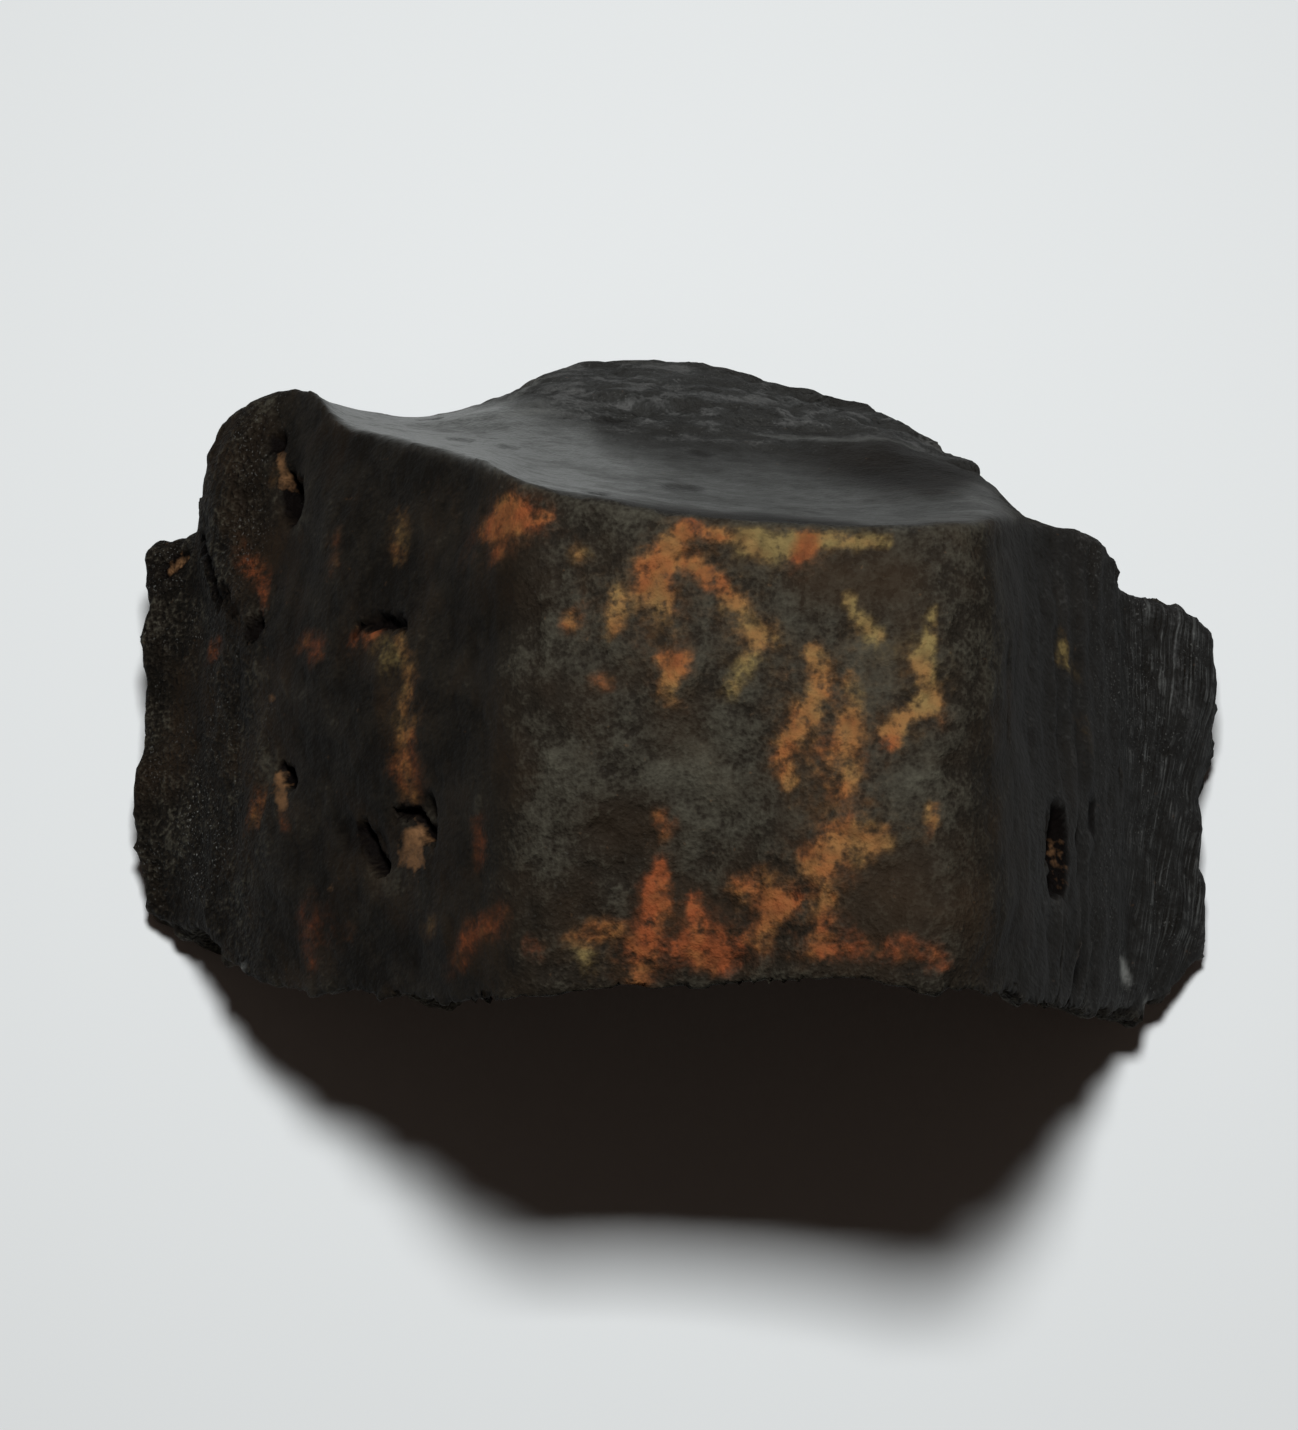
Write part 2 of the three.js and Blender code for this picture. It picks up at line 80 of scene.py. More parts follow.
# Stains on the top: strength, redness, and places along the streak with its half width there.
OLIVE, OCHRE, AMBER, RUST = 0.0, 0.35, 0.7, 1.0
STAINS = [
    # the large patch below the ridge, its right arm, and its band to the right
    (1.0, AMBER, [(0.3, -0.1, 0.45), (-0.5, -0.8, 0.65), (-1.3, -1.8, 0.7), (-1.3, -2.9, 0.7)]),
    (0.8, OCHRE, [(-1.2, -3.3, 0.6), (-1.0, -4.2, 0.5)]),
    (0.85, AMBER, [(0.3, -0.3, 0.45), (1.2, -0.4, 0.45), (1.9, -0.6, 0.35)]),
    (0.8, AMBER, [(-0.2, -1.4, 0.6), (0.6, -1.8, 0.45), (1.7, -2.9, 0.45), (2.7, -3.8, 0.4)]),
    (0.5, OCHRE, [(2.2, -3.6, 0.4), (3.1, -4.4, 0.35), (3.4, -5.3, 0.4)]),
    (0.5, AMBER, [(2.2, -0.5, 0.3), (2.7, -0.6, 0.35)]),
    (0.95, OLIVE, [(2.9, -0.7, 0.5), (3.6, -0.8, 0.7), (4.4, -1.1, 0.6), (5.2, -0.8, 0.5)]),
    (1.0, RUST, [(5.8, -0.9, 0.6), (6.3, -0.8, 0.5)]),
    (0.9, OLIVE, [(6.9, -0.6, 0.5), (8.3, -0.5, 0.45), (9.7, -0.7, 0.35)]),
    # spots and streaks on the middle of the top
    (0.6, OCHRE, [(-4.8, -0.9, 0.55)]),
    (0.75, AMBER, [(-5.2, -4.0, 0.55)]),
    (1.0, OCHRE, [(-3.1, -3.1, 0.4), (-3.1, -4.1, 0.65), (-3.3, -4.7, 0.35)]),
    (0.95, AMBER, [(-0.9, -6.1, 0.4), (-0.1, -6.4, 0.7), (-0.4, -7.1, 0.5)]),
    (0.8, OCHRE, [(-0.5, -7.2, 0.5), (-0.6, -8.1, 0.45)]),
    (0.5, AMBER, [(-3.7, -7.2, 0.55)]),
    (0.95, OCHRE, [(4.2, -5.2, 0.6)]),
    (0.7, OLIVE, [(3.6, -5.8, 0.4), (3.3, -6.5, 0.5), (2.8, -7.2, 0.45), (2.2, -7.9, 0.35)]),
    (0.95, OLIVE, [(8.0, -3.9, 0.45), (8.4, -4.5, 0.5), (9.1, -5.3, 0.6)]),
    (1.0, OLIVE, [(12.0, -4.5, 0.25), (12.0, -5.6, 0.4), (11.6, -6.8, 0.65)]),
    (1.0, OCHRE, [(11.6, -7.0, 0.6), (11.6, -8.2, 0.6), (11.0, -9.1, 0.5), (10.3, -10.0, 0.5)]),
    (0.8, AMBER, [(10.3, -10.0, 0.4), (10.0, -10.8, 0.3)]),
    (0.25, AMBER, [(12.4, -8.4, 0.5), (12.4, -9.6, 0.4)]),
    (0.95, 0.5, [(6.1, -6.1, 0.3), (6.6, -7.1, 0.6), (6.5, -8.1, 0.7), (5.6, -9.1, 0.7)]),
    (0.95, 0.6, [(5.6, -9.1, 0.65), (5.2, -10.2, 0.55), (5.0, -11.3, 0.5), (5.3, -12.2, 0.4)]),
    (0.65, OCHRE, [(8.2, -7.4, 0.4), (8.3, -8.6, 0.45), (8.1, -9.7, 0.6)]),
    (0.75, 0.55, [(8.1, -9.7, 0.6), (7.9, -10.9, 0.75), (7.9, -12.3, 0.6)]),
    (0.4, AMBER, [(6.8, -11.2, 0.8), (7.2, -12.2, 0.7)]),
    (0.9, OCHRE, [(11.9, -13.8, 0.45), (11.9, -14.4, 0.4)]),
    (0.3, AMBER, [(11.7, -14.9, 0.35)]),
    # along the front edge
    (0.6, AMBER, [(-1.0, -13.2, 0.35), (-0.5, -14.0, 0.45)]),
    (0.95, RUST, [(-0.9, -15.4, 0.25), (-1.1, -16.6, 0.5), (-1.4, -17.9, 0.6), (-1.6, -19.2, 0.65)]),
    (0.85, AMBER, [(-1.7, -19.6, 0.5), (-2.1, -20.5, 0.5), (-2.3, -21.2, 0.35)]),
    (0.7, AMBER, [(-2.8, -18.5, 0.35), (-4.0, -18.5, 0.55), (-4.9, -19.0, 0.55)]),
    (0.65, OLIVE, [(-4.5, -19.8, 0.65)]),
    (0.4, RUST, [(-7.6, -18.8, 0.4), (-7.0, -19.3, 0.5)]),
    (0.9, RUST, [(0.7, -17.3, 0.3), (0.8, -18.6, 0.5), (1.0, -19.2, 0.9), (1.9, -19.9, 0.7)]),
    (0.8, RUST, [(0.0, -19.2, 0.45)]),
    (0.9, AMBER, [(2.8, -16.7, 0.5), (3.7, -17.0, 0.75), (4.4, -17.6, 0.6), (5.4, -17.7, 0.65)]),
    (0.85, AMBER, [(4.8, -18.2, 0.5), (3.8, -19.0, 0.7), (2.9, -19.4, 0.5)]),
    (1.0, AMBER, [(6.7, -15.9, 0.85), (7.5, -14.9, 0.75)]),
    (0.9, OCHRE, [(7.8, -15.1, 0.75), (9.0, -15.1, 0.75), (8.6, -16.0, 0.45)]),
    (0.7, AMBER, [(7.0, -17.2, 0.35), (6.8, -18.6, 0.5), (6.7, -19.8, 0.6)]),
    (0.55, RUST, [(6.9, -20.0, 0.5), (8.1, -20.1, 0.6), (9.6, -20.2, 0.65), (11.0, -20.0, 0.4)]),
    (0.5, RUST, [(12.0, -20.3, 0.65), (12.8, -20.5, 0.35)]),
    # the blotch where the ridge meets the left slope
    (1.0, AMBER, [(-8.5, 2.3, 0.6), (-8.6, 1.4, 0.95)]),
    (0.9, RUST, [(-8.3, 1.4, 0.7), (-7.4, 1.3, 0.6), (-6.7, 1.1, 0.4)]),
    (0.6, AMBER, [(-8.9, 0.5, 0.6), (-8.9, -0.4, 0.45)]),
    (0.3, AMBER, [(-9.6, 1.4, 0.45)]),
    # the left slope
    (0.7, RUST, [(-16.8, -0.8, 0.3), (-16.0, -0.9, 0.4), (-15.3, -0.9, 0.25)]),
    (0.55, OLIVE, [(-15.7, -1.5, 0.45), (-14.8, -2.7, 0.6)]),
    (0.6, OCHRE, [(-14.1, -1.9, 0.4), (-13.9, -3.4, 0.6), (-14.0, -5.2, 0.6)]),
    (0.55, OCHRE, [(-14.0, -5.4, 0.55), (-13.8, -6.6, 0.65)]),
    (0.6, AMBER, [(-13.9, -6.9, 0.55), (-14.0, -8.3, 0.75), (-13.6, -9.7, 0.75)]),
    (0.5, RUST, [(-9.9, -12.7, 0.45), (-9.8, -13.5, 0.6), (-9.9, -14.2, 0.5)]),
    (0.6, RUST, [(-9.1, -17.4, 0.7), (-10.0, -18.0, 0.9), (-10.9, -18.6, 0.7)]),
    (0.5, OCHRE, [(-12.6, -16.5, 0.5)]),
    (0.45, RUST, [(-19.8, -13.6, 0.8), (-19.4, -14.4, 1.1)]),
    (0.4, RUST, [(-19.2, -16.0, 0.4)]),
    (0.25, AMBER, [(-17.4, -15.3, 0.7)]),
    (0.45, RUST, [(-19.8, 0.4, 0.6), (-19.0, 0.0, 0.7), (-18.9, -0.7, 0.4)]),
    (0.5, OCHRE, [(-14.2, 4.6, 0.45), (-14.2, 2.6, 0.45)]),
    (0.3, AMBER, [(-17.8, 5.0, 0.6), (-17.8, 3.6, 0.6)]),
    (0.18, AMBER, [(-11.5, 4.6, 0.5), (-11.5, 2.6, 0.5)]),
    (0.5, AMBER, [(-22.6, -6.0, 0.35), (-22.9, -7.0, 0.45), (-23.3, -7.9, 0.35)]),
    (0.4, RUST, [(-20.9, -7.7, 0.35), (-20.6, -8.4, 0.4)]),
    (0.3, RUST, [(-24.2, 8.0, 0.7)]),
    (0.55, RUST, [(-23.5, 6.8, 0.7), (-22.9, 6.2, 0.7), (-22.4, 4.8, 0.35)]),
    (0.4, RUST, [(-22.3, 4.4, 0.25), (-22.3, 3.2, 0.3)]),
    (0.35, OCHRE, [(-21.8, 12.0, 0.35), (-21.8, 10.9, 0.3)]),
    (0.75, RUST, [(-25.7, 3.0, 0.5)]),
    # the right flank
    (0.35, OLIVE, [(20.5, 0.6, 0.3)]),
    (0.8, OLIVE, [(20.6, -0.2, 0.35), (20.6, -1.1, 0.5)]),
    (0.3, OLIVE, [(21.2, -3.8, 0.3), (22.1, -5.2, 0.3)]),
]
# Cloudy ore: light (+) or dark (-), brownness, and places along it with its half width there.
CLOUDS = [
    (0.8, 0.0, [(-7.7, -5.6, 0.9), (-6.4, -6.3, 0.6)]),
    (0.9, 0.0, [(-5.3, -10.8, 1.2), (-6.6, -12.0, 0.9)]),
    (0.9, 0.0, [(-1.2, -11.5, 0.8), (0.7, -11.0, 0.8)]),
    (0.8, 0.0, [(5.4, -5.0, 0.8)]),
    (1.4, 0.0, [(9.4, -6.3, 1.1), (9.2, -8.2, 0.9)]),
    (0.5, 0.0, [(11.4, -12.0, 1.6)]),
    (0.5, 0.0, [(2.4, -9.6, 1.6), (2.0, -12.6, 1.4)]),
    (0.5, 0.0, [(0.8, -15.4, 0.8), (1.6, -16.1, 0.7)]),
    (0.4, 0.0, [(-6.6, -15.8, 1.0)]),
    (0.4, 0.0, [(12.9, -3.7, 0.9)]),
    (-1.0, 0.3, [(-8.4, -2.0, 1.3), (-7.2, -3.0, 1.2)]),
    (-1.0, 0.5, [(-3.4, -14.0, 1.4), (-1.8, -13.6, 1.0)]),
    (-0.7, 0.4, [(-4.9, -16.8, 1.0)]),
    (-0.6, 0.0, [(3.2, -11.3, 0.8)]),
    (-0.5, 0.2, [(6.6, -9.7, 0.6)]),
    (-0.2, 0.9, [(10.2, -17.6, 2.2)]),
    (0.1, 0.9, [(6.6, -2.6, 1.2), (10.2, -2.8, 1.6)]),
    (0.0, 0.6, [(0.0, -9.4, 1.2)]),
    # thin light edges on the left end and the left flank
    (0.9, 0.0, [(-21.0, 15.6, 0.2), (-20.4, 12.7, 0.3), (-19.5, 8.0, 0.3), (-19.4, 5.0, 0.2)]),
    (0.7, 0.0, [(28.0, 5.5, 0.4), (28.6, 2.0, 0.5), (28.8, -3.0, 0.4)]),
    (1.2, 0.0, [(-22.0, 15.8, 0.3), (-23.7, 13.9, 0.25)]),
    (1.1, 0.0, [(-28.8, 5.1, 0.15), (-28.7, -1.0, 0.2), (-28.6, -7.5, 0.15)]),
    (0.6, 0.0, [(-22.8, 1.0, 0.4), (-22.4, -3.0, 0.5), (-22.3, -6.6, 0.3)]),
    (0.5, 0.0, [(-18.0, 0.0, 0.7), (-18.0, -5.0, 0.5)]),
    # ledges on the hump: painted highlights along their crests, and a darker band along the back of
    # the hump
    (0.8, 0.0, [(4.5, 13.9, 0.25), (9.5, 13.6, 0.35), (13.6, 14.0, 0.3)]),
    (0.8, 0.0, [(-11.5, 15.0, 0.3), (-9.5, 16.8, 0.35), (-7.7, 19.3, 0.3)]),
    (0.8, 0.0, [(-9.4, 14.6, 0.3), (-5.0, 15.6, 0.35)]),
    (-1.6, 0.0, [(3.0, 20.5, 0.5), (9.0, 19.0, 0.6), (14.0, 16.5, 0.5)]),
]
# Tan clay in the pits: strength, and places along the filling with its half width there.
CLAY = [
    (1.0, [(-13.6, -11.7, 0.5), (-13.5, -12.4, 0.7), (-13.3, -13.0, 0.5)]),
    (0.9, [(-21.4, -5.5, 0.2), (-21.2, -6.3, 0.3), (-21.0, -7.4, 0.3)]),
    (0.55, [(-21.7, 12.7, 0.3), (-21.5, 11.6, 0.3), (-21.5, 10.6, 0.25)]),
    (0.5, [(-21.7, -1.4, 0.25)]),
    (0.75, [(-28.1, 9.6, 0.25), (-28.7, 9.2, 0.3)]),
    (0.4, [(-18.3, -12.8, 0.25)]),
    (0.28, [(19.9, -11.2, 0.22), (19.9, -13.4, 0.25)]),
]
# Painted glints: light grey painted where bare crystal faces shine; strength, and places along them
# with the half width there.
GLINTS = [
    (1.0, [(24.7, -13.8, 0.2), (24.8, -14.5, 0.3)]),
    (0.6, [(24.3, -13.4, 0.12)]),
    (0.8, [(26.4, -15.1, 0.15)]),
    (0.7, [(-23.7, -14.6, 0.15)]),
    # painted highlights along the crests of the ledges on the hump
    (0.22, [(4.5, 13.9, 0.15), (9.5, 13.6, 0.2), (13.6, 14.0, 0.15)]),
    (0.25, [(-11.5, 15.0, 0.2), (-9.5, 16.8, 0.25), (-7.7, 19.3, 0.2)]),
    (0.2, [(-9.4, 14.6, 0.2), (-7.0, 15.3, 0.2)]),
]
# Pits: depth, and places along the pit with its half width there.
PITS = [
    (1.5, [(-21.2, 10.7, 0.4), (-20.9, 9.8, 0.6), (-20.6, 8.5, 0.45)]),
    (0.9, [(-21.9, 13.4, 0.3), (-21.8, 12.9, 0.4)]),
    (1.4, [(-22.8, 3.1, 0.33), (-22.9, 2.6, 0.4)]),
    (0.9, [(-16.9, -0.4, 0.12), (-16.2, -0.3, 0.2), (-15.4, -0.3, 0.3), (-14.5, -0.8, 0.25),
           (-13.9, -1.4, 0.12)]),
    (0.9, [(-21.1, -5.1, 0.2), (-20.8, -5.7, 0.3), (-20.5, -6.4, 0.25)]),
    (1.2, [(-14.4, -10.4, 0.18), (-13.3, -10.7, 0.3), (-12.5, -11.9, 0.28), (-12.2, -12.6, 0.12)]),
    (1.3, [(-16.5, -10.5, 0.33), (-15.9, -11.5, 0.4), (-15.2, -12.7, 0.28)]),
    (0.22, [(-17.5, -9.9, 0.45), (-17.0, -10.8, 0.5)]),
    (1.1, [(19.5, -9.8, 0.35), (19.5, -11.9, 0.5), (19.5, -13.8, 0.35)]),
    (0.35, [(22.1, -7.5, 0.25), (22.1, -8.9, 0.3)]),
    (0.5, [(-28.9, 9.1, 0.3), (-28.0, 9.7, 0.35)]),
    (0.5, [(-26.8, 10.1, 0.15), (-25.9, 7.4, 0.18), (-25.2, 4.9, 0.15)]),
    (0.3, [(-25.0, 6.0, 0.15), (-24.1, 4.0, 0.2)]),
    # shallow hollows in the scoop
    (0.18, [(-14.0, 15.1, 0.25), (-13.2, 15.1, 0.25)]),
    (0.15, [(-11.9, 11.5, 0.3), (-11.1, 11.4, 0.3)]),
    (0.15, [(-9.3, 10.7, 0.3), (-8.7, 10.7, 0.3)]),
    (0.18, [(-6.2, 14.8, 0.2), (-5.6, 14.8, 0.2)]),
    (0.2, [(-3.7, 14.9, 0.25), (-3.1, 14.8, 0.25)]),
    (0.25, [(-4.3, 3.4, 0.35), (-3.7, 3.4, 0.35)]),
    (0.22, [(-0.3, 6.9, 0.5), (0.8, 6.9, 0.5)]),
    (0.15, [(0.9, 11.6, 0.3), (1.6, 11.5, 0.3)]),
]
# Directions across the fibres on the two flanks, so that a fibre runs straight along Y.
ACROSS_LEFT = (0.6, 0.0, 0.8)
ACROSS_RIGHT = (0.6, 0.0, -0.8)

# How the net of points is evened out, and how the solid's own pits are closed before the fine
# ones are cut. Margins and heights are millimetres.
PULL = 0.6
PUSH = -0.62
HEALING_PASSES = 30
HEALING_MARGIN = 0.3
HEALING_BORDER = (1.2, 2.8)
HEALING_HEIGHTS = (4.0, 8.0)
BORDER_PASSES = 3
# The mask built with these two lightens the raised edges, as wear, and darkens the recesses with
# painted shade.
BULGE_PASSES = 5
BULGE_HEIGHT = 0.07
FLOOR_LEVEL = 0.2

# How far the forms of the surface stand out or in, in millimetres.
SWELL = 0.26
POCK = 0.14
LEDGE = 0.34
LEDGE_GRAIN = 0.13
SCOOP_FLAT = 0.05
SCOOP_RIPPLE = 0.02
CRUMB = 0.2
ROUGH_HEIGHT = 0.12
SHOULDER_CUT = 0.45
PIT_DEPTH = 0.85  # share of the listed depth that an open pit has
PIT_WALL = (0.4, 1.4)  # where a pit's wall starts and ends, in half widths
# Painted shade: a pit is painted near black, fading out between these half widths.
PIT_SHADE = (0.6, 1.7)  # where the dark of a pit starts to fade and ends
CLAY_FILL = 0.8  # share of a pit's depth that its clay takes
MIDDLE = 0.2  # the height at which a form neither stands out nor in
SWAY = 0.12  # how far the borders of pits and glints wander
STAIN_SWAY = 0.45
CLOUD_SWAY = 0.4

# The stage, in millimetres and degrees.
KEY_PLACE = (0, 27, 265)
CAMERA_PLACE = (-1.5, -61.7, 241.5)
CAMERA_TILT = 15
CLIP_START = 10
CLIP_END = 10000
FILL_COLOUR = (1.0, 0.72, 0.59, 1.0)


def smooth_step(low, high, value):
    """0 below low and 1 above high, with a soft rise between them."""
    share = np.clip((value - low) / (high - low), 0.0, 1.0)
    return share * share * (3.0 - 2.0 * share)


def linear(code):
    """The linear colour of an sRGB hex code such as "#45403d"."""
    parts = [int(code[i:i + 2], 16) / 255 for i in (1, 3, 5)]
    return [c / 12.92 if c <= 0.04045 else ((c + 0.055) / 1.055) ** 2.4 for c in parts]


# ---- settings -----------------------------------------------------------------------------


class OreShape(bpy.types.PropertyGroup):
    """Sizes of the lump's surface detail."""

    spacing: FloatProperty(
        name="Mesh spacing", description="Distance between the points of the surface",
        default=0.35 * MM, min=0.3 * MM, unit="LENGTH")
    passes: IntProperty(
        name="Smoothing", description="Passes that take the solid's flats out", default=22, min=0)
    chip_width: FloatProperty(
        name="Chip width", description="Width of the flats on a broken face",
        default=3.6 * MM, unit="LENGTH")
    chip_height: FloatProperty(
        name="Chip height", description="How far the flats of a broken face stand out",
        default=0.34 * MM, unit="LENGTH")
    fibre_width: FloatProperty(
        name="Fibre width", description="Width of a fibre bundle on the right flank",
        default=0.6 * MM, unit="LENGTH")
    fibre_height: FloatProperty(
        name="Fibre height", description="Height of a fibre bundle on the right flank",
        default=0.1 * MM, unit="LENGTH")
    grain_height: FloatProperty(
        name="Grain height", description="Height of the coarse grain", default=0.06 * MM,
        unit="LENGTH")


class OreColours(bpy.types.PropertyGroup):
    """Colours of the ore and its stains, and of the sheen, highlights and shade painted on it."""

    # Also painted shade: this darkest colour fills the places painted darker by shade, and is
    # painted between the threads and in the tiny holes.
    pitch: FloatVectorProperty(
        name="Pitch black", description="Darkest ore, in hollows and dull bands",
        subtype="COLOR", default=linear("#110e0a"))
    ore: FloatVectorProperty(
        name="Ore", description="Brownish black of the dull massive ore", subtype="COLOR",
        default=linear("#24201a"))
    flint: FloatVectorProperty(
        name="Flint", description="Neutral black of fibrous ore and of the back",
        subtype="COLOR", default=linear("#20201f"))
    granular: FloatVectorProperty(
        name="Granular ore", description="Cloudy grey where the ore is granular",
        subtype="COLOR", default=linear("#47453b"))
    slate: FloatVectorProperty(
        name="Slate", description="Neutral grey of fibrous ore and of the back",
        subtype="COLOR", default=linear("#4e4e4d"))
    # Painted sheen: the lighter grey painted on the smooth break as its sheen and on the threads as
    # their highlight; it is also their metallic tint.
    steel_and_painted_sheen: FloatVectorProperty(
        name="Steel grey", description="Half-metallic grey of a smooth break",
        subtype="COLOR", default=linear("#656765"))
    # Painted highlight: the light grey painted for glints and for small crystals that catch the
    # light.
    painted_glint_grey: FloatVectorProperty(
        name="Sparkle", description="Light grey of the smallest crystal faces",
        subtype="COLOR", default=linear("#8a8c88"))
    umber: FloatVectorProperty(
        name="Umber", description="Dark brown of a thin stain", subtype="COLOR",
        default=linear("#2e2318"))
    olive: FloatVectorProperty(
        name="Olive", description="Dull yellow limonite stain", subtype="COLOR",
        default=linear("#776740"))
    amber: FloatVectorProperty(
        name="Amber", description="Orange-brown limonite stain", subtype="COLOR",
        default=linear("#845731"))
    rust: FloatVectorProperty(
        name="Rust", description="Orange-red earthy hematite stain", subtype="COLOR",
        default=linear("#824527"))
    clay: FloatVectorProperty(
        name="Clay", description="Tan filling in the pits", subtype="COLOR",
        default=linear("#6c4f35"))
    # Painted shade: the near black painted inside the pits where shade falls.
    pit: FloatVectorProperty(
        name="Pit", description="Near black inside the pits", subtype="COLOR",
        default=linear("#070403"))


class OreStage(bpy.types.PropertyGroup):
    """The floor, the lights and the camera."""

    floor_side: FloatProperty(
        name="Floor side", description="Side of the square floor", default=3000 * MM,
        unit="LENGTH")
    floor_colour: FloatVectorProperty(
        name="Floor colour", description="Matt white card", subtype="COLOR",
        default=linear("#e9edee"))
    key_power: FloatProperty(
        name="Key power", description="Power of the key light", default=0.65, unit="POWER")
    key_size: FloatProperty(
        name="Key size", description="Side of the square key light", default=36 * MM,
        unit="LENGTH")
    fill: FloatProperty(
        name="Fill", description="Brightness of the soft light from all round", default=0.029)
    lens: FloatProperty(
        name="Lens", description="Focal length on a 36 mm sensor", default=107.6, unit="CAMERA")


# ---- surface ------------------------------------------------------------------------------


def uneven(places, size, seed, octaves=3):
    """Uneven heights of about -1 to 1 in lumps of the given size."""
    spots = (places / size + seed).tolist()
    return np.array([noise.fractal(spot, 1.0, 2.0, octaves) for spot in spots])


def swayed(points, reach, size, seeds, octaves):
    """The points seen from above, moved a little so that a border drawn there wanders."""
    sway = np.stack([uneven(points, size, seed, octaves) for seed in seeds], 1)
    return points[:, :2] + reach * sway


def cell_tilts(centres):
    """A fixed random direction for each cell, from -1 to 1 along each axis."""
    mixer = np.array([[127.1, 269.5, 113.5], [311.7, 183.3, 271.9], [74.7, 246.1, 124.6]])
    wave = np.sin(np.round(centres, 3) @ mixer) * 43758.5453
    return 2.0 * (wave - np.floor(wave)) - 1.0


def chips(places, size, seed, slope=0.12):
    """Flat tilted facets with short slopes between them, as brittle ore breaks."""
    spots = places / size + seed
    found = [noise.voronoi(spot) for spot in spots.tolist()]
    distances = np.array([cell[0] for cell in found])
    centres = np.array([[tuple(centre) for centre in cell[1]] for cell in found])
    tilts = cell_tilts(centres)
    heights = ((spots[:, None, :] - centres) * tilts).sum(2) + 0.4 * tilts[:, :, 0]
    weights = np.clip(1.0 - (distances - distances[:, :1]) / slope, 0.0, 1.0) ** 2
    return (weights * heights).sum(1) / weights.sum(1)


def line_height(line, along):
    """The second coordinate of a line at places along its first."""
    xs, ys = zip(*line)
    return np.interp(along, xs, ys)


def near_streak(places, line, inner=0.0, outer=2.0):
    """1 along a streak, falling to 0 between the given multiples of its half widths."""
    line = np.array(line, float)
    ends = line[1:] if len(line) > 1 else line
    share_in = np.zeros(len(places))
    for start, end in zip(line, ends):
        way = end - start
        length = max(way[:2] @ way[:2], 1e-9)
        share = np.clip((places - start[:2]) @ way[:2] / length, 0.0, 1.0)
        gap = np.linalg.norm(places - start[:2] - share[:, None] * way[:2], axis=1)
        reach = gap / (start[2] + share * way[2])
        share_in = np.maximum(share_in, 1.0 - smooth_step(inner, outer, reach))
    return share_in


def even_net(node, spacing):
    """The node's solid as a new mesh with evenly spaced points."""
    draft = bpy.data.objects.new("draft", node.data.copy())
    bpy.context.scene.collection.objects.link(draft)
    remesh = draft.modifiers.new("even net", "REMESH")
    remesh.mode = "VOXEL"
    remesh.voxel_size = spacing
    seen = draft.evaluated_get(bpy.context.evaluated_depsgraph_get())
    mesh = bpy.data.meshes.new_from_object(seen)
    bpy.data.objects.remove(draft)
    return mesh


def read_points(mesh):
    points = np.empty(len(mesh.vertices) * 3)
    mesh.vertices.foreach_get("co", points)
    return points.reshape(-1, 3) / MM


def read_normals(mesh):
    normals = np.empty(len(mesh.vertices) * 3)
    mesh.vertex_normals.foreach_get("vector", normals)
    return normals.reshape(-1, 3)


def write_points(mesh, points):
    mesh.vertices.foreach_set("co", (points * MM).ravel())
    mesh.update()


def neighbour_means(ends, values):
    """The mean of each point's neighbours along the mesh's edges."""
    first = np.concatenate([ends[:, 0], ends[:, 1]])
    second = np.concatenate([ends[:, 1], ends[:, 0]])
    count = np.bincount(first, minlength=len(values))
    sums = [np.bincount(first, column[second], len(values)) for column in values.T]
    return np.stack(sums, 1) / count[:, None]


def read_edges(mesh):
    edges = np.empty(len(mesh.edges) * 2, int)
    mesh.edges.foreach_get("vertices", edges)
    return edges.reshape(-1, 2)


def smoothed(ends, points, passes):
    """The points with small flats and steps evened out, at the same overall size."""
    for _ in range(passes):
        for move in (PULL, PUSH):
            points = points + move * (neighbour_means(ends, points) - points)
    return points


def healed(ends, points):
    """The points with the solid's plain pits closed, ready for the fine ones."""
    seen = points[:, :2]
    wide = [[(px, py, half + HEALING_MARGIN) for px, py, half in line] for _, line in PITS]
    near = np.max([near_streak(seen, line, *HEALING_BORDER) for line in wide], axis=0)
    near *= smooth_step(*HEALING_HEIGHTS, points[:, 2])
    for _ in range(HEALING_PASSES):
        points = points + PULL * near[:, None] * (neighbour_means(ends, points) - points)
    return points


def bulge(ends, points, normals):
    """How far each point stands out (+) or in (-) from its surroundings, from -1 to 1."""
    base = points
    for _ in range(BULGE_PASSES):
        base = (1 - PULL) * base + PULL * neighbour_means(ends, base)
    return np.clip(((points - base) * normals).sum(1) / BULGE_HEIGHT, -1.0, 1.0)


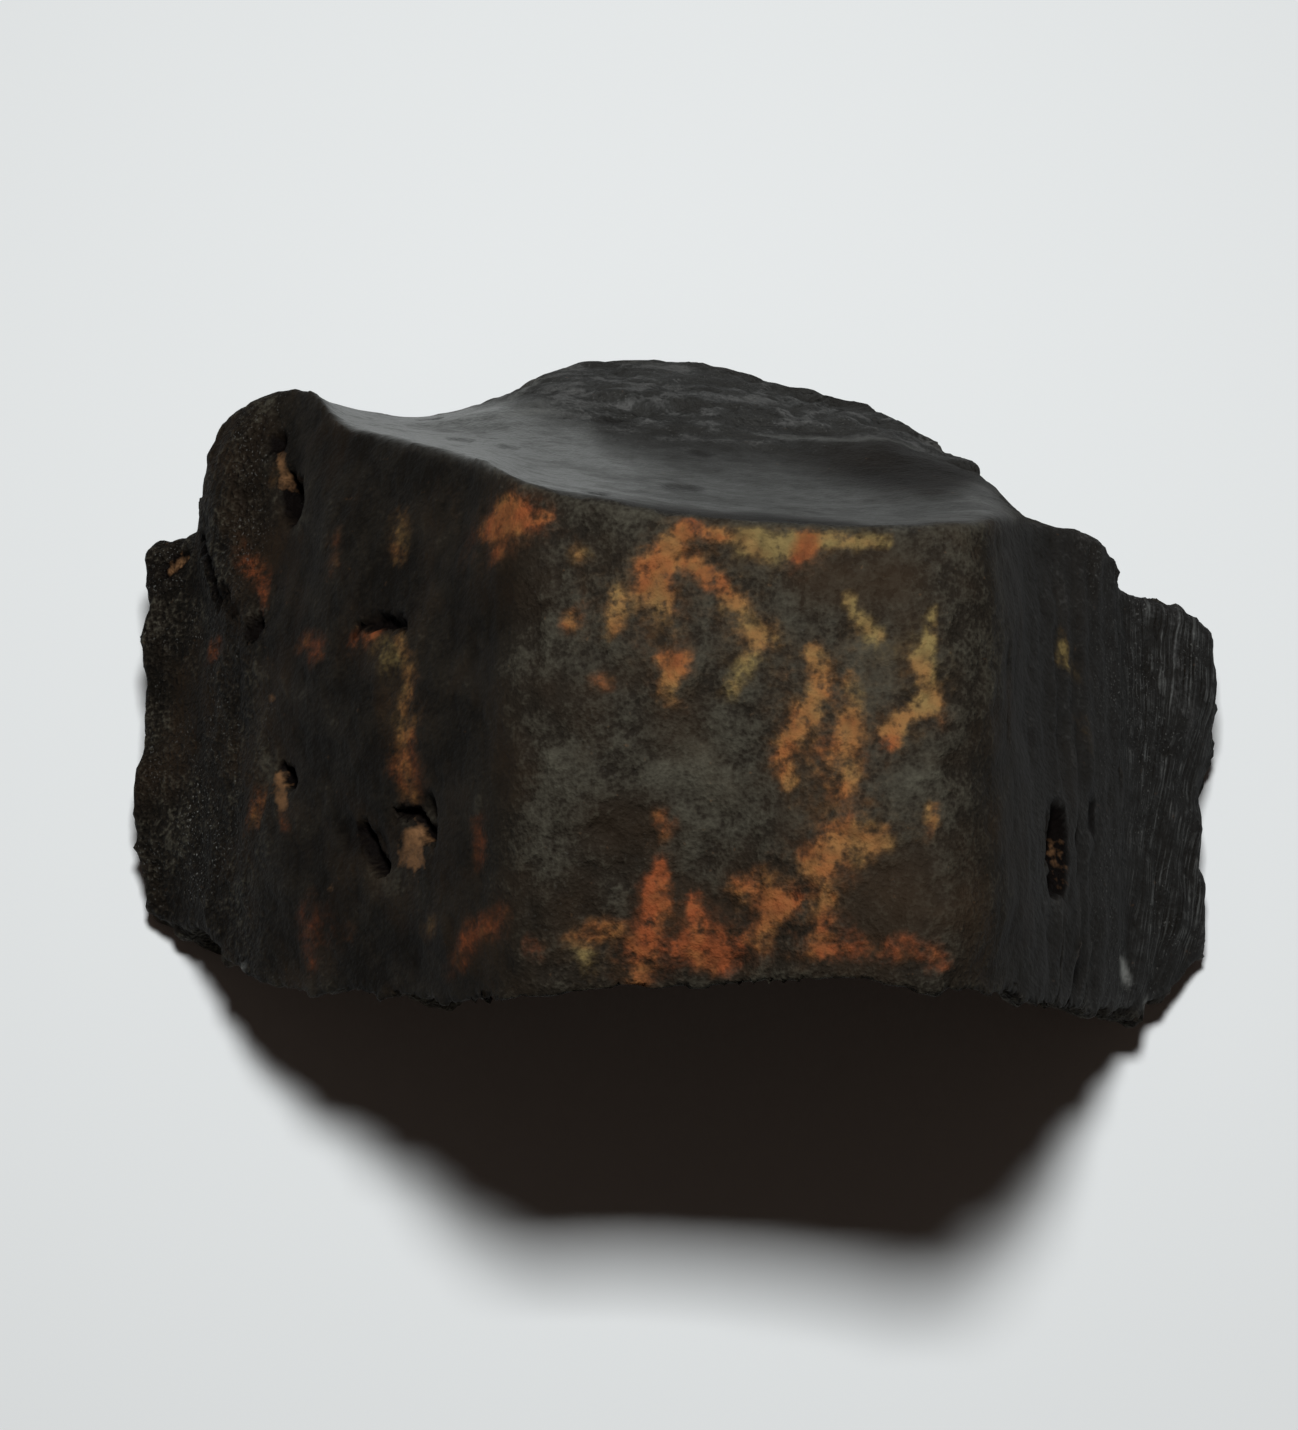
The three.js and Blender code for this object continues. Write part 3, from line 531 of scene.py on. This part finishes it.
def regions(points, normals):
    """How much each point belongs to each face of the lump, from 0 to 1.

    The borders are places in millimetres along X, Y and Z.
    """
    x, y, z = points.T
    wander = 0.5 * uneven(points, size=5.0, seed=41.0, octaves=2)
    drift = x + 2.5 * uneven(points, size=4.0, seed=61.0)
    behind = y - line_height(RIDGE_LINE, x) + 0.3 * wander
    past_hump = y - line_height(HUMP_LINE, x) + wander
    over_rim = z - line_height(RIM_LINE, x) + 2 * wander
    top = (1 - smooth_step(-0.4, 0.4, behind)) * smooth_step(0.0, 0.25, normals[:, 2])
    back = smooth_step(-0.3, 0.5, behind) * smooth_step(0.0, 0.2, normals[:, 1])
    inside = smooth_step(-21, -18, x) * (1 - smooth_step(16, 18, x)) * smooth_step(-2, 1, over_rim)
    hump = back * inside * smooth_step(-3.0, 2.0, past_hump)
    reach = line_height(REACH_LINE, x)
    start = line_height(START_LINE, x)
    # how much of the scoop takes the painted sheen, with its smoothness
    sheen = line_height(SHEEN_LINE, x) * smooth_step(start, start + 3, behind)
    sheen *= 1 - smooth_step(0.5 * reach, reach, behind)
    rough = 0.75 * smooth_step(21, 24, -x) + 0.25
    plateau = smooth_step(-10.5, -3, drift) * (1 - smooth_step(10, 17, drift))
    return {
        "top": top,
        "scoop": back * inside - hump,
        "hump": hump,
        "hidden": 1 - np.clip(top + back * inside, 0, 1),
        "left": top * (1 - smooth_step(-14, -6, drift)),
        "plateau": top * plateau * (1 - smooth_step(13, 20, -y)),
        "steep": top * smooth_step(0.35, 0.75, np.abs(normals[:, 0])),
        "fibre": smooth_step(22, 28, x) * (1 - back) * smooth_step(-0.6, -0.1, normals[:, 1]),
        "crumbs": back * smooth_step(3, 6, x) * smooth_step(0.8, 2.4, past_hump),
        "sheen": sheen,
        "rough": rough,
        "below_rim": smooth_step(0.5, 5.0, line_height(RIM_LINE, x) - z),
        "shade": back * inside * smooth_step(0, 10, x) * smooth_step(4, 10, behind),
    }


def pit_masks(points):
    """How deep the pits are at each point, in millimetres, and how dark their painted shade is, from
    0 to 1.
    """
    places = swayed(points, SWAY, 0.9, (21.0, 27.0), 2)
    depth = np.zeros(len(points))
    dark = np.zeros(len(points))
    for deep, line in PITS:
        depth = np.maximum(depth, deep * near_streak(places, line, *PIT_WALL))
        # the painted shade over each pit
        shaded = near_streak(places, line, *PIT_SHADE)
        dark = np.maximum(dark, min(1.0, 2 * deep) * smooth_step(0.05, 0.5, shaded))
    return depth, dark


def clay_share(points):
    """How far the clay fills each point, from 0 to 1."""
    return np.max([level * near_streak(points[:, :2], line) for level, line in CLAY], axis=0)


def glint_share(points):
    """How far each point carries a painted glint of a bare crystal face, from 0 to 1."""
    places = swayed(points, SWAY, 0.6, (91.0, 97.0), 2)
    return np.max([level * near_streak(places, line) for level, line in GLINTS], axis=0)


def carved(points, normals, face, shape):
    """The points moved in and out to give the surface its breaks, fibres and grain."""
    smooth_break = face["scoop"] + 0.5 * face["hump"]
    back_edge = smooth_step(0.0, 0.3, normals[:, 1]) * (1 - face["below_rim"])
    broken = (1 - smooth_break) * (1 - 0.6 * face["top"]) * (1 + 1.2 * face["hidden"])
    broken *= (1 - 0.85 * back_edge) * (1 - 0.5 * face["steep"])
    chip = shape.chip_width / MM
    chip_height = shape.chip_height / MM
    out = chip_height * broken * (chips(points, size=chip, seed=1.7) - MIDDLE)
    out += 0.4 * chip_height * broken * (chips(points, size=chip / 2.6, seed=5.1) - MIDDLE)
    hidden = face["hidden"] * (1 - back_edge) * (1 - face["fibre"])
    large = chips(points, size=1.9 * chip, seed=27.0, slope=0.05) - 0.35
    out += 1.6 * chip_height * hidden * large
    out += SWELL * (1 - 0.75 * smooth_break) * (uneven(points, size=6.0, seed=3.3) - MIDDLE)
    grain = shape.grain_height / MM * (1 - 0.7 * smooth_break) * (1 - 0.4 * face["steep"])
    out += grain * uneven(points, size=1.0, seed=7.9)
    pocks = smooth_step(0.1, 0.5, uneven(points, size=1.3, seed=45.0, octaves=2))
    out -= POCK * face["top"] * (1 - 0.6 * face["steep"]) * pocks
    across = points @ np.array(ACROSS_RIGHT)
    fibres = np.stack([across, 0.05 * points[:, 1], 0 * across], 1)
    bundles = uneven(fibres, size=shape.fibre_width / MM, seed=2.3, octaves=2)
    out += shape.fibre_height / MM * face["fibre"] * bundles
    ledges = points * np.array([0.35, 0.8, 0.8])
    out += LEDGE * face["hump"] * (chips(ledges, size=1.7, seed=9.1) - MIDDLE)
    out += SCOOP_FLAT * face["scoop"] * chips(ledges, size=3.4, seed=33.0, slope=0.4)
    out += SCOOP_RIPPLE * face["scoop"] * uneven(ledges, size=1.2, seed=9.1)
    out += LEDGE_GRAIN * face["hump"] * uneven(points, size=0.8, seed=19.0)
    out += CRUMB * face["crumbs"] * (np.abs(uneven(points, size=1.3, seed=13.1)) - MIDDLE)
    out += ROUGH_HEIGHT * face["rough"] * uneven(points, size=0.9, seed=63.0, octaves=2)
    shoulder = near_streak(points[:, :2], SHOULDER_LINE)
    out -= SHOULDER_CUT * shoulder * smooth_step(12, 15, points[:, 2])
    filled = 1 - CLAY_FILL * clay_share(points)
    out -= PIT_DEPTH * pit_masks(points)[0] * filled * (normals[:, 2] > 0)
    out *= smooth_step(0.0, 1.2, points[:, 2])
    return points + normals * out[:, None]


def flattened(points):
    """The points with the resting face level on the floor."""
    points[:, 2] = np.where(points[:, 2] < FLOOR_LEVEL, 0.0, points[:, 2])
    return points


def write_mask(mesh, name, values):
    layer = mesh.attributes.new(name, "FLOAT", "POINT")
    layer.data.foreach_set("value", values.astype(np.float32))


def stain_masks(points):
    """How thick the stains lie at each point seen from above, and how red they are."""
    seen = swayed(points, STAIN_SWAY, 2.2, (11.0, 17.0), 4)
    bare = np.ones(len(points))
    red = np.zeros(len(points))
    weight = np.full(len(points), 1e-6)
    for strength, redness, line in STAINS:
        wide = [(px, py, 2.2 * half + 0.3) for px, py, half in line]
        halo = 0.2 * strength * near_streak(seen, wide)
        drawn = np.maximum(strength * near_streak(seen, line), halo)
        bare *= 1 - drawn
        red += redness * drawn ** 2
        weight += drawn ** 2
    return 1 - bare, red / weight


def finish_masks(points, normals, face):
    """Where the ore is stained, red, filled with clay, brown and glossy, where it is lighter or
    darker (partly painted light and shade), and where shade in the pits, sheen and glints are
    painted.
    """
    x = points[:, 0]
    upward = smooth_step(0.0, 0.2, normals[:, 2])
    stain, redness = stain_masks(points)
    stain *= face["top"]
    strewn = 0.35 * face["hidden"] * (1 - 0.7 * face["fibre"])
    strewn *= smooth_step(0.0, 0.6, uneven(points, size=5.0, seed=31.0, octaves=5))
    places = swayed(points, CLOUD_SWAY, 1.6, (51.0, 57.0), 3)
    right = smooth_step(15, 18, x) * face["top"]
    # Painted light and shade: the plateau of the top, which faces the key light, is painted lighter,
    # and the left slope, the right flank and the back of the scoop's right part are painted darker.
    # The clouds, bands and mottling added below are the ore's own lighter and darker places.
    tone_and_painted_light = 0.34 + 0.18 * face["plateau"] - 0.2 * face["left"] - 0.24 * face["shade"] - 0.06 * right
    brown = np.zeros(len(points))
    for level, brownness, line in CLOUDS:
        drawn = upward * near_streak(places, line)
        tone_and_painted_light += 0.2 * level * drawn
        brown = np.maximum(brown, brownness * drawn)
    bands = points * np.array([0.6, 1.0, 0.6])
    tone_and_painted_light += 0.35 * face["left"] * uneven(bands, size=2.6, seed=75.0, octaves=4)
    ledges = points * np.array([0.4, 0.9, 0.9])
    tone_and_painted_light += 0.2 * face["crumbs"]
    tone_and_painted_light += 1.3 * face["hump"] * uneven(ledges, size=1.0, seed=71.0, octaves=4)
    flank = smooth_step(20, 25, np.abs(x)) * upward
    patchy = 0.45 * smooth_step(-0.5, 0.5, uneven(points, size=3.0, seed=81.0, octaves=2))
    patchy += 0.7 * near_streak(points[:, :2], SLAB_LINE)
    return {
        "stain": np.maximum(stain, strewn),
        "redness": np.where(strewn > stain, AMBER, redness),
        "clay": clay_share(points) * upward,
        "hollow": pit_masks(points)[1] * (normals[:, 2] > 0),
        "gloss_and_painted_sheen": face["scoop"] * face["sheen"] + 0.16 * face["hump"],
        "tone_and_painted_light": tone_and_painted_light,
        "brown": brown,
        "glint": glint_share(points) * upward,
        "grit": np.clip(flank + 0.6 * face["hump"] + 0.5 * face["hidden"] + 0.1, 0, 1) * patchy,
        "flank": np.clip(face["left"] + right, 0, 1),
        "cool": np.clip(face["fibre"] + 0.8 * right + face["hump"] + 0.8 * face["scoop"], 0, 1),
        "fibre": face["fibre"],
        "rough": np.clip(face["rough"] + 0.5 * face["hidden"] + 0.3 * face["hump"], 0, 1),
    }


def softened(ends, face):
    """The faces' shares with a soft border from each face to the next."""
    shares = np.stack(list(face.values()), 1)
    for _ in range(BORDER_PASSES):
        shares = 0.5 * shares + 0.5 * neighbour_means(ends, shares)
    return dict(zip(face, shares.T))


def ore_mesh(shape):
    mesh = even_net(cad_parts["ore_lump"], shape.spacing)
    ends = read_edges(mesh)
    points = healed(ends, smoothed(ends, read_points(mesh), shape.passes))
    write_points(mesh, points)
    normals = read_normals(mesh)
    face = softened(ends, regions(points, normals))
    masks = finish_masks(points, normals, face)
    points = flattened(carved(points, normals, face, shape))
    write_points(mesh, points)
    # Lighter where the surface stands out, as wear on the edges, and darker where it sinks in, as
    # painted shade in recesses.
    masks["wear_and_recess_shade"] = bulge(ends, points, read_normals(mesh))
    for name, values in masks.items():
        write_mask(mesh, name, values)
    mesh.shade_smooth()
    return mesh


# ---- materials ----------------------------------------------------------------------------

MASKS = (
    "stain", "redness", "clay", "hollow", "gloss_and_painted_sheen", "tone_and_painted_light", "brown", "glint", "grit", "flank",
    "fibre", "rough", "cool", "wear_and_recess_shade",
)
# Sizes of the patterns. The ore's real grain, flecks and fibres are about 0.1 mm and less: they
# are drawn coarser, to show.
GRAIN = 0.22 * MM
SPECK = 0.26 * MM
FLECK = 0.16 * MM
THREAD = 0.2 * MM
HOLE = 0.55 * MM
# These are drawn at their real size: powder on a stain, mottling and veins of the ore, the torn
# edge of a stain, its changes of colour, streaks along the scoop, clouds, and brown tinges.
POWDER = 0.45 * MM
MOTTLE = 0.9 * MM
VEIN = 1.0 * MM
EDGE = 1.3 * MM
BLOTCH = 1.4 * MM
STREAK = 1.5 * MM
CLOUD = 3.2 * MM
BROWN = 5.0 * MM
FROM_ABOVE = (1.0, 1.0, 0.3)  # draws a pattern out down a steep face
ALONG_SCOOP = (0.4, 1.0, 1.0)  # draws a pattern out along the lump


def add_node(tree, kind, inputs, output=0, **settings):
    """Adds a shader node with its settings and links, and returns one of its outputs."""
    node = tree.nodes.new("ShaderNode" + kind)
    for name, value in settings.items():
        setattr(node, name, value)
    for name, value in inputs.items():
        if isinstance(value, bpy.types.NodeSocket):
            tree.links.new(value, node.inputs[name])
        else:
            node.inputs[name].default_value = value
    return node.outputs[output] if node.outputs else None


def rgba(colour):
    return (*colour, 1.0)


def hematite(colours):
    """Massive hematite, naturally broken: dull and dark, half metallic on its smooth break."""
    material = bpy.data.materials.new("hematite_broken")
    material.use_nodes = True
    material.node_tree.nodes.clear()
    node = partial(add_node, material.node_tree)
    mask = {name: node("Attribute", {}, "Fac", attribute_name=name) for name in MASKS}
    place = node("TexCoord", {}, "Object")

    # grain, clouds and veins of lighter and darker ore, with the painted light and shade of the top
    # and the slopes, and the painted shade in recesses, added in
    drawn = node("VectorMath", {0: place, 1: FROM_ABOVE}, "Vector", operation="MULTIPLY")
    patterns = []
    for size, detail in (
        (GRAIN, 2.0), (CLOUD, 4.0), (MOTTLE, 3.0), (SPECK, 1.0), (EDGE, 3.0), (POWDER, 2.0),
    ):
        plain = node("TexNoise", {"Vector": place, "Scale": 1 / size, "Detail": detail})
        steep = node("TexNoise", {"Vector": drawn, "Scale": 1 / size, "Detail": detail})
        patterns.append(node("Mix", {0: mask["flank"], 2: plain, 3: steep}))
    grain, clouds, mottle, specks, edge, powder = patterns
    specks = node("Math", {0: specks, 1: 0.5}, operation="SUBTRACT")
    specks = node("Math", {0: specks, 1: mask["rough"]}, operation="MULTIPLY")
    lengths = node("SeparateXYZ", {"Vector": place}, "Y")
    lengths = node("Math", {0: lengths, 1: 0.12}, operation="MULTIPLY")
    left_across = node("VectorMath", {0: place, 1: ACROSS_LEFT}, "Value", operation="DOT_PRODUCT")
    vein_place = node("CombineXYZ", {"X": left_across, "Y": lengths})
    veins = node("TexNoise", {"Vector": vein_place, "Scale": 1 / VEIN, "Detail": 3.0})
    veins = node("Math", {0: veins, 1: 0.5}, operation="SUBTRACT")
    veins = node("Math", {0: veins, 1: mask["flank"]}, operation="MULTIPLY")
    light = -0.75
    for share, pattern in (
        (0.5, clouds), (0.45, mottle), (0.55, grain), (0.12, veins), (0.16, mask["wear_and_recess_shade"]),
        (1.9, specks), (1.0, mask["tone_and_painted_light"]),
    ):
        light = node("Math", {0: pattern, 1: share, 2: light}, operation="MULTIPLY_ADD")

    # straight silvery threads on the right flank: their silver is a painted highlight, on top of
    # their real metal and smoothness set further down
    right_across = node("VectorMath", {0: place, 1: ACROSS_RIGHT}, "Value", operation="DOT_PRODUCT")
    lengths = node("Math", {0: lengths, 1: 0.4}, operation="MULTIPLY")
    thread_place = node("CombineXYZ", {"X": right_across, "Y": lengths})
    threads = node("TexNoise", {"Vector": thread_place, "Scale": 1 / THREAD, "Detail": 2.0})
    # painted shade: near black between the threads
    groove_shade = node("MapRange", {"Value": threads, "From Min": 0.46, "From Max": 0.3})
    groove_shade = node("Math", {0: groove_shade, 1: mask["fibre"]}, operation="MULTIPLY")
    threads = node("MapRange", {"Value": threads, "From Min": 0.5, "From Max": 0.68})
    broken = node("MapRange", {"Value": mottle, "From Min": 0.42, "From Max": 0.6})
    strands = node("Math", {0: threads, 1: mask["fibre"]}, operation="MULTIPLY")
    threads = node("Math", {0: strands, 1: broken}, operation="MULTIPLY")

    # painted glints: small crystals painted light grey where they catch the light; and tiny holes,
    # painted with shade and sunk by the bump
    fleck_glints = node("TexNoise", {"Vector": place, "Scale": 1 / FLECK, "Detail": 1.0})
    fleck_glints = node("MapRange", {"Value": fleck_glints, "From Min": 0.63, "From Max": 0.8})
    fleck_glints = node("Math", {0: fleck_glints, 1: mask["grit"]}, operation="MULTIPLY")
    holes = node("TexVoronoi", {"Vector": place, "Scale": 1 / HOLE}, "Distance")
    holes = node("MapRange", {"Value": holes, "From Min": 0.1, "From Max": 0.4,
                              "To Min": 1.0, "To Max": 0.0})
    holes = node("Math", {0: holes, 1: mask["grit"]}, operation="MULTIPLY")

    # the ore's colour, in layers from the darkest, with painted sheen, highlights and shade among
    # the layers
    dull = node("MapRange", {"Value": light, "From Min": 0.0, "From Max": 0.5})
    cloudy = node("MapRange", {"Value": light, "From Min": 0.42, "From Max": 1.0})
    rusty = node("TexNoise", {"Vector": place, "Scale": 1 / BROWN, "Detail": 4.0})
    rusty = node("MapRange", {"Value": rusty, "From Min": 0.5, "From Max": 0.8})
    rusty = node("Math", {0: rusty, 1: mask["brown"]}, operation="ADD", use_clamp=True)
    grey = node("Math", {0: mask["cool"], 1: -0.65, 2: 0.7}, operation="MULTIPLY_ADD")
    rusty = node("Math", {0: rusty, 1: grey}, operation="MULTIPLY")
    # Painted sheen: the smooth break is painted a lighter grey where it would reflect the light, and
    # is also made half metallic and smoother further down.
    streak_place = node("VectorMath", {0: place, 1: ALONG_SCOOP}, "Vector", operation="MULTIPLY")
    streaks = node("TexNoise", {"Vector": streak_place, "Scale": 1 / STREAK, "Detail": 4.0})
    sheen = -1.0
    for share, pattern in ((0.6, streaks), (1.2, clouds), (0.8, mottle), (0.4, grain)):
        sheen = node("Math", {0: pattern, 1: share, 2: sheen}, operation="MULTIPLY_ADD")
    sheen = node("MapRange", {"Value": sheen, "From Min": 0.2, "From Max": 0.85,
                              "To Min": 0.65, "To Max": 1.35})
    sheen = node("Math", {0: sheen, 1: mask["gloss_and_painted_sheen"]}, operation="MULTIPLY", use_clamp=True)
    # painted shade in the tiny holes
    hole_shade = node("Math", {0: holes, 1: 0.8}, operation="MULTIPLY")
    granular = node("Mix", {0: mask["cool"], 6: rgba(colours.granular), 7: rgba(colours.slate)}, 2,
                    data_type="RGBA")
    hazy = node("Math", {0: mask["cool"], 1: 0.08}, operation="MULTIPLY")
    # painted highlight on the threads
    thread_highlight = node("Math", {0: threads, 1: 0.7}, operation="MULTIPLY")
    dark = node("Mix", {0: mask["cool"], 6: rgba(colours.ore), 7: rgba(colours.flint)}, 2,
                data_type="RGBA")
    ore = node("Mix", {0: dull, 6: rgba(colours.pitch), 7: dark}, 2, data_type="RGBA")
    ore = node("Mix", {0: cloudy, 6: ore, 7: granular}, 2, data_type="RGBA")
    for share, layer in (
        (rusty, colours.umber), (hazy, colours.slate), (groove_shade, colours.pitch),
        (sheen, colours.steel_and_painted_sheen), (hole_shade, colours.pitch), (thread_highlight, colours.steel_and_painted_sheen),
        (fleck_glints, colours.painted_glint_grey), (mask["glint"], colours.painted_glint_grey),
    ):
        ore = node("Mix", {0: share, 6: ore, 7: rgba(layer)}, 2, data_type="RGBA")

    # stains: a powdery film, patchy in thickness, and dark brown where it is thin
    film = -0.95
    for share, pattern in ((1.6, edge), (1.4, powder), (0.9, grain)):
        film = node("Math", {0: pattern, 1: share, 2: film}, operation="MULTIPLY_ADD")
    film = node("Math", {0: film, 1: mask["stain"]}, operation="MULTIPLY")
    blotchy = node("TexNoise", {"Vector": place, "Scale": 1 / BLOTCH, "Detail": 3.0})
    red = node("Math", {0: blotchy, 1: 1.2, 2: -0.6}, operation="MULTIPLY_ADD")
    red = node("Math", {0: red, 1: mask["redness"]}, operation="ADD")
    orange = node("MapRange", {"Value": red, "From Min": 0.0, "From Max": 0.65})
    reddish = node("MapRange", {"Value": red, "From Min": 0.6, "From Max": 1.0})
    dirty = node("MapRange", {"Value": mottle, "From Min": 0.35, "From Max": 0.62,
                              "To Min": 0.5, "To Max": 0.0})
    strong = node("MapRange", {"Value": film, "From Min": 0.15, "From Max": 0.8})
    stain = rgba(colours.olive)
    for share, layer in (
        (orange, colours.amber), (reddish, colours.rust), (dirty, colours.umber),
    ):
        stain = node("Mix", {0: share, 6: stain, 7: rgba(layer)}, 2, data_type="RGBA")
    stain = node("Mix", {0: strong, 6: rgba(colours.umber), 7: stain}, 2, data_type="RGBA")
    covered = node("MapRange", {"Value": film, "From Min": 0.1, "From Max": 0.9, "To Max": 0.95})
    colour = node("Mix", {0: covered, 6: ore, 7: stain}, 2, data_type="RGBA")

    # clay fillings, and painted shade, near black, inside the pits
    clay = node("Math", {0: powder, 1: 1.2, 2: -0.6}, operation="MULTIPLY_ADD")
    clay = node("Math", {0: clay, 1: mask["clay"]}, operation="ADD")
    clay = node("MapRange", {"Value": clay, "From Min": 0.25, "From Max": 0.75})
    earth = node("Mix", {0: dirty, 6: rgba(colours.clay), 7: rgba(colours.umber)}, 2,
                 data_type="RGBA")
    colour = node("Mix", {0: mask["hollow"], 6: colour, 7: rgba(colours.pit)}, 2, data_type="RGBA")
    colour = node("Mix", {0: clay, 6: colour, 7: earth}, 2, data_type="RGBA")

    # half-metallic sheen on the clean smooth break and on the threads
    clean = node("Math", {0: 1.0, 1: covered}, operation="SUBTRACT")
    metal = node("Math", {0: clean, 1: sheen}, operation="MULTIPLY")
    metal = node("Math", {0: metal, 1: 0.5}, operation="MULTIPLY")
    metal = node("Math", {0: threads, 1: 0.3, 2: metal}, operation="MULTIPLY_ADD")
    rough = node("Math", {0: sheen, 1: -0.36, 2: 0.78}, operation="MULTIPLY_ADD")
    rough = node("Math", {0: threads, 1: -0.25, 2: rough}, operation="MULTIPLY_ADD")
    height = node("Math", {0: grain, 1: 0.08 * MM}, operation="MULTIPLY")
    height = node("Math", {0: powder, 1: 0.1 * MM, 2: height}, operation="MULTIPLY_ADD")
    height = node("Math", {0: strands, 1: 0.04 * MM, 2: height}, operation="MULTIPLY_ADD")
    height = node("Math", {0: specks, 1: 0.3 * MM, 2: height}, operation="MULTIPLY_ADD")
    height = node("Math", {0: holes, 1: -0.08 * MM, 2: height}, operation="MULTIPLY_ADD")
    normal = node("Bump", {"Height": height, "Distance": 1.0})
    shader = node("BsdfPrincipled", {
        "Base Color": colour, "Metallic": metal, "Roughness": rough,
        "Specular IOR Level": 0.06, "Normal": normal})
    node("OutputMaterial", {"Surface": shader})
    return material


def card(stage):
    """Matt white card, rolled smooth: a plain pale ground with no shine."""
    material = bpy.data.materials.new("matt_card")
    material.use_nodes = True
    shader = material.node_tree.nodes["Principled BSDF"]
    shader.inputs["Base Color"].default_value = rgba(stage.floor_colour)
    shader.inputs["Roughness"].default_value = 0.9
    shader.inputs["Specular IOR Level"].default_value = 0.2
    return material


# ---- operators ----------------------------------------------------------------------------


class ORE_OT_lump(bpy.types.Operator):
    """Build the ore lump over its solid"""

    bl_idname = "ore.lump"
    bl_label = "Ore Lump"

    def execute(self, context):
        scene = context.scene
        lump = bpy.data.objects.new("hematite_lump", ore_mesh(scene.ore_shape))
        scene.collection.objects.link(lump)
        lump.data.materials.clear()
        lump.data.materials.append(hematite(scene.ore_colours))
        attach(lump, "root")
        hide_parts("ore_lump")
        return {"FINISHED"}


class ORE_OT_stage(bpy.types.Operator):
    """Lay the pale floor and set the lights and the camera"""

    bl_idname = "ore.stage"
    bl_label = "Stage"

    def execute(self, context):
        scene = context.scene
        stage = scene.ore_stage
        half = stage.floor_side / 2
        mesh = bpy.data.meshes.new("floor")
        corners = [(-half, -half, 0), (half, -half, 0), (half, half, 0), (-half, half, 0)]
        mesh.from_pydata(corners, [], [(0, 1, 2, 3)])
        floor = bpy.data.objects.new("floor", mesh)
        scene.collection.objects.link(floor)
        mesh.materials.append(card(stage))
        add_light(scene, stage)
        add_camera(scene, stage)
        scene.view_settings.view_transform = "Standard"
        return {"FINISHED"}


def add_light(scene, stage):
    lamp = bpy.data.lights.new("key", "AREA")
    lamp.energy = stage.key_power
    lamp.size = stage.key_size
    key = bpy.data.objects.new("key", lamp)
    key.location = [place * MM for place in KEY_PLACE]
    key.visible_camera = False
    scene.collection.objects.link(key)
    world = bpy.data.worlds.new("studio")
    world.use_nodes = True
    backdrop = world.node_tree.nodes["Background"]
    backdrop.inputs["Color"].default_value = FILL_COLOUR
    backdrop.inputs["Strength"].default_value = stage.fill
    scene.world = world


def add_camera(scene, stage):
    lens = bpy.data.cameras.new("camera")
    lens.lens = stage.lens
    lens.clip_start = CLIP_START * MM
    lens.clip_end = CLIP_END * MM
    camera = bpy.data.objects.new("camera", lens)
    camera.location = [place * MM for place in CAMERA_PLACE]
    camera.rotation_euler = (math.radians(CAMERA_TILT), 0, 0)
    scene.collection.objects.link(camera)
    scene.camera = camera


class ORE_PT_panel(bpy.types.Panel):
    """Lists the lump, the stage and their settings"""

    bl_label = "Hematite Iron Ore"
    bl_idname = "ORE_PT_panel"
    bl_space_type = "VIEW_3D"
    bl_region_type = "UI"
    bl_category = "Ore"

    def draw(self, context):
        scene = context.scene
        for operator in (ORE_OT_lump, ORE_OT_stage):
            self.layout.operator(operator.bl_idname)
        for group in (scene.ore_shape, scene.ore_colours, scene.ore_stage):
            box = self.layout.box()
            for name in group.__annotations__:
                box.prop(group, name)


CLASSES = (OreShape, OreColours, OreStage, ORE_OT_lump, ORE_OT_stage, ORE_PT_panel)
SETTINGS = {"ore_shape": OreShape, "ore_colours": OreColours, "ore_stage": OreStage}


def register():
    for cls in CLASSES:
        bpy.utils.register_class(cls)
    for name, group in SETTINGS.items():
        setattr(bpy.types.Scene, name, PointerProperty(type=group))


def unregister():
    for name in SETTINGS:
        delattr(bpy.types.Scene, name)
    for cls in reversed(CLASSES):
        bpy.utils.unregister_class(cls)


def main():
    register()
    bpy.ops.ore.lump()
    bpy.ops.ore.stage()


if __name__ == "__main__":
    main()
